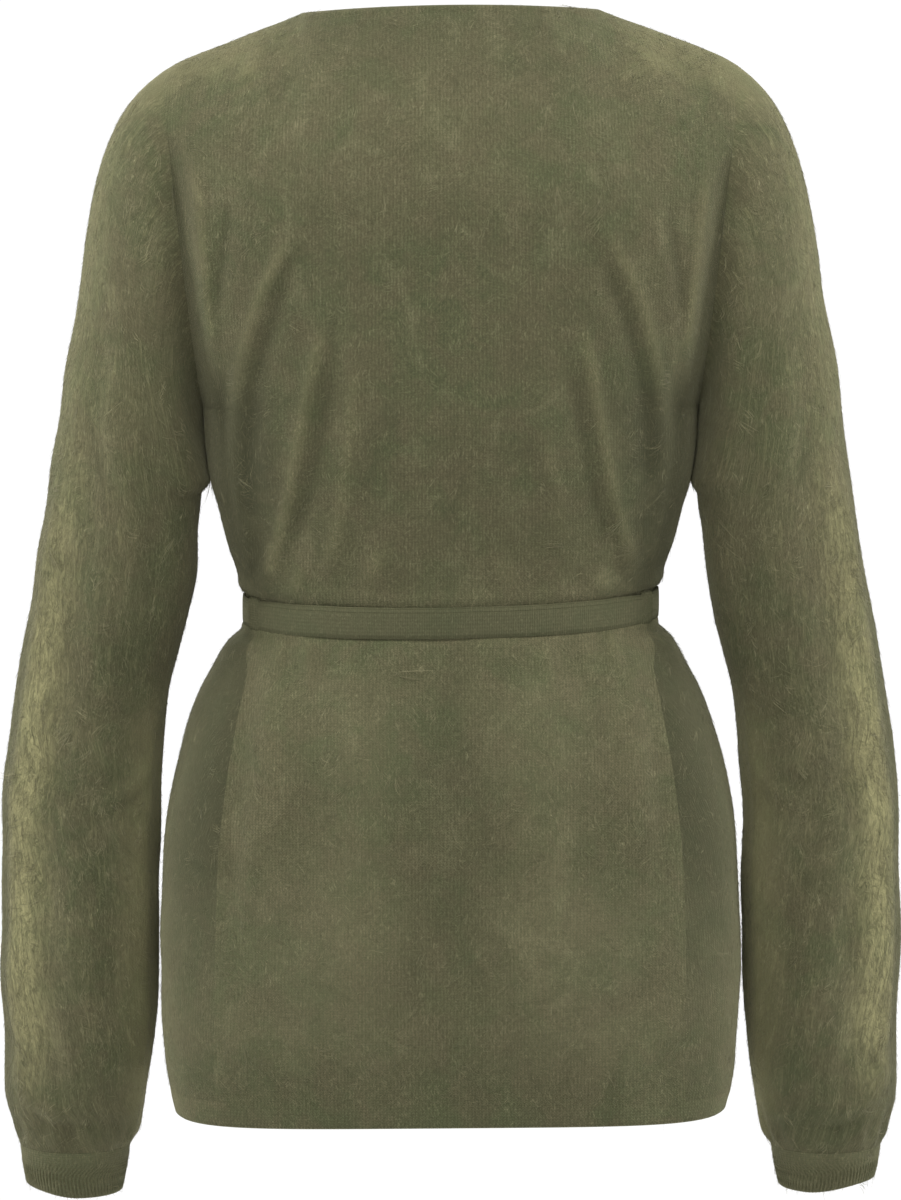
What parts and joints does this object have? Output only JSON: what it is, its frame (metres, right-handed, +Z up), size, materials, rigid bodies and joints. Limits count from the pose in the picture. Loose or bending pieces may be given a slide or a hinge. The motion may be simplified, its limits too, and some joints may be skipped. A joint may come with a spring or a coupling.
{
  "type": "cashmere cardigan",
  "caption": "Hollow worn form of a belted wrap cardigan in brushed knit, with crossing fronts, long full sleeves, ribbed cuffs and a tied knitted belt.",
  "frame": {"origin": "on the centre line at the level at which the wearer's shoulders carry the garment, between the neck points and the shoulder points", "axes": "+Z up, the front faces -Y and the back faces +Y, +X towards the wearer's left sleeve; Z is the longest extent and Y the shortest"},
  "size_m": [0.5832, 0.2444, 0.7651],
  "materials": {
    "cashmere": "brushed fine-gauge cashmere knit in olive green, matt, with a raised nap",
    "rib": "fine ribbed cashmere knit in olive green, matt",
    "belt": "flat tubular cashmere knit in olive green, matt"
  },
  "bodies": {
    "root": {"back": "cashmere", "front_left": "cashmere", "front_right": "cashmere", "sleeve_left": "cashmere", "sleeve_right": "cashmere", "cuff_left": "rib", "cuff_right": "rib", "hem_back": "rib", "hem_front_left": "rib", "hem_front_right": "rib", "belt": "belt", "belt_knot": "belt", "belt_end_left": "belt", "belt_end_right": "belt", "belt_loop_left": "rib", "belt_loop_right": "rib"}
  },
  "joints": []
}
